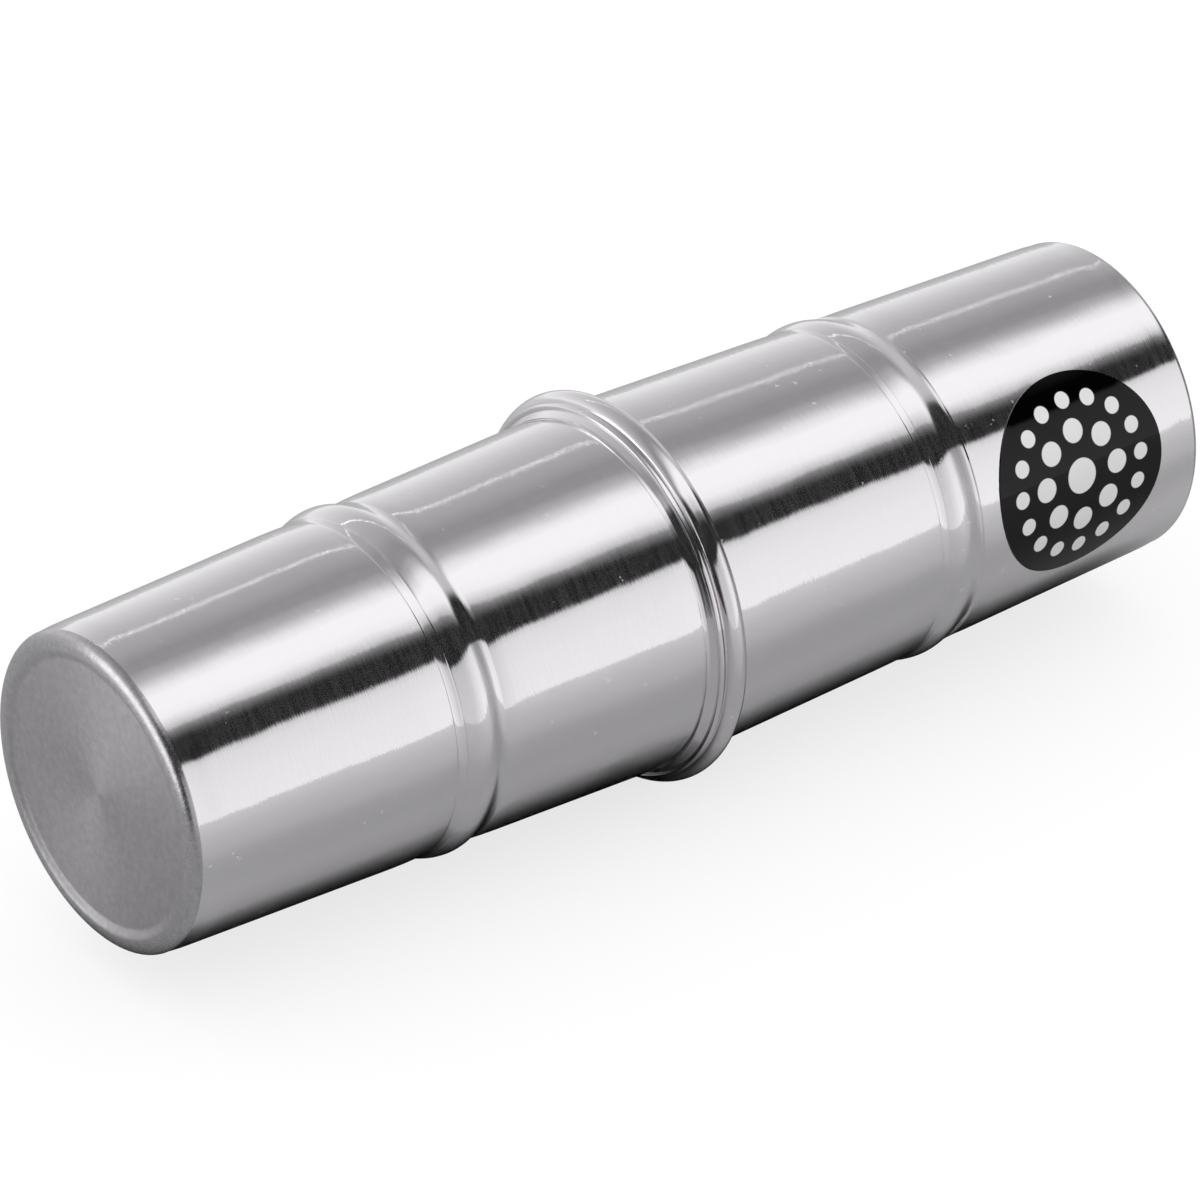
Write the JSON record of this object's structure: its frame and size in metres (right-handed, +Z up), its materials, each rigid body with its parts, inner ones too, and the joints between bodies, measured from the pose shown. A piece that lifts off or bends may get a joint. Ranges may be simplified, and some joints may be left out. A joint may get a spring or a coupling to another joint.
{
  "type": "ganza shaker",
  "caption": "Metal tube shaker of two tapered aluminium cups pressed together mouth to mouth at a rolled rim, with a bead on each half and loose steel shot inside.",
  "frame": {"origin": "on the tube's axis, halfway between the standing rings of its two closed ends", "axes": "+X along the tube from the front cup to the rear cup, +Z up as the shaker lies on its side, -Y towards the side that shows the sticker"},
  "size_m": [0.205, 0.0662, 0.0662],
  "materials": {
    "cup_aluminium": "polished on the walls with fine turning lines, satin on the closed ends",
    "sticker_vinyl": "gloss vinyl",
    "shot_steel": "plain steel balls"
  },
  "bodies": {
    "shell": {"front_cup": "cup_aluminium", "rear_cup": "cup_aluminium", "round_sticker": "sticker_vinyl"},
    "shot_row_1": {"shot_row_1": "shot_steel"},
    "shot_row_2": {"shot_row_2": "shot_steel"},
    "shot_row_3": {"shot_row_3": "shot_steel"},
    "shot_row_4": {"shot_row_4": "shot_steel"},
    "shot_row_5": {"shot_row_5": "shot_steel"},
    "shot_row_6": {"shot_row_6": "shot_steel"},
    "shot_row_7": {"shot_row_7": "shot_steel"},
    "shot_row_8": {"shot_row_8": "shot_steel"},
    "shot_row_9": {"shot_row_9": "shot_steel"},
    "shot_row_10": {"shot_row_10": "shot_steel"},
    "shot_row_11": {"shot_row_11": "shot_steel"},
    "shot_row_12": {"shot_row_12": "shot_steel"},
    "shot_row_13": {"shot_row_13": "shot_steel"},
    "shot_row_14": {"shot_row_14": "shot_steel"},
    "shot_row_15": {"shot_row_15": "shot_steel"},
    "shot_row_16": {"shot_row_16": "shot_steel"},
    "shot_row_17": {"shot_row_17": "shot_steel"}
  },
  "joints": [
    {"name": "shot_row_1_slide", "type": "slide", "parent": "shell", "child": "shot_row_1", "axis": [1, 0, 0], "range_m": [0, 0.164]},
    {"name": "shot_row_2_slide", "type": "slide", "parent": "shell", "child": "shot_row_2", "axis": [1, 0, 0], "range_m": [0, 0.164]},
    {"name": "shot_row_3_slide", "type": "slide", "parent": "shell", "child": "shot_row_3", "axis": [1, 0, 0], "range_m": [0, 0.164]},
    {"name": "shot_row_4_slide", "type": "slide", "parent": "shell", "child": "shot_row_4", "axis": [1, 0, 0], "range_m": [0, 0.164]},
    {"name": "shot_row_5_slide", "type": "slide", "parent": "shell", "child": "shot_row_5", "axis": [1, 0, 0], "range_m": [0, 0.164]},
    {"name": "shot_row_6_slide", "type": "slide", "parent": "shell", "child": "shot_row_6", "axis": [1, 0, 0], "range_m": [0, 0.164]},
    {"name": "shot_row_7_slide", "type": "slide", "parent": "shell", "child": "shot_row_7", "axis": [1, 0, 0], "range_m": [0, 0.164]},
    {"name": "shot_row_8_slide", "type": "slide", "parent": "shell", "child": "shot_row_8", "axis": [1, 0, 0], "range_m": [0, 0.164]},
    {"name": "shot_row_9_slide", "type": "slide", "parent": "shell", "child": "shot_row_9", "axis": [1, 0, 0], "range_m": [0, 0.164]},
    {"name": "shot_row_10_slide", "type": "slide", "parent": "shell", "child": "shot_row_10", "axis": [1, 0, 0], "range_m": [0, 0.164]},
    {"name": "shot_row_11_slide", "type": "slide", "parent": "shell", "child": "shot_row_11", "axis": [1, 0, 0], "range_m": [0, 0.1687]},
    {"name": "shot_row_12_slide", "type": "slide", "parent": "shell", "child": "shot_row_12", "axis": [1, 0, 0], "range_m": [0, 0.1687]},
    {"name": "shot_row_13_slide", "type": "slide", "parent": "shell", "child": "shot_row_13", "axis": [1, 0, 0], "range_m": [0, 0.1687]},
    {"name": "shot_row_14_slide", "type": "slide", "parent": "shell", "child": "shot_row_14", "axis": [1, 0, 0], "range_m": [0, 0.1687]},
    {"name": "shot_row_15_slide", "type": "slide", "parent": "shell", "child": "shot_row_15", "axis": [1, 0, 0], "range_m": [0, 0.1687]},
    {"name": "shot_row_16_slide", "type": "slide", "parent": "shell", "child": "shot_row_16", "axis": [1, 0, 0], "range_m": [0, 0.1687]},
    {"name": "shot_row_17_slide", "type": "slide", "parent": "shell", "child": "shot_row_17", "axis": [1, 0, 0], "range_m": [0, 0.1734]}
  ]
}
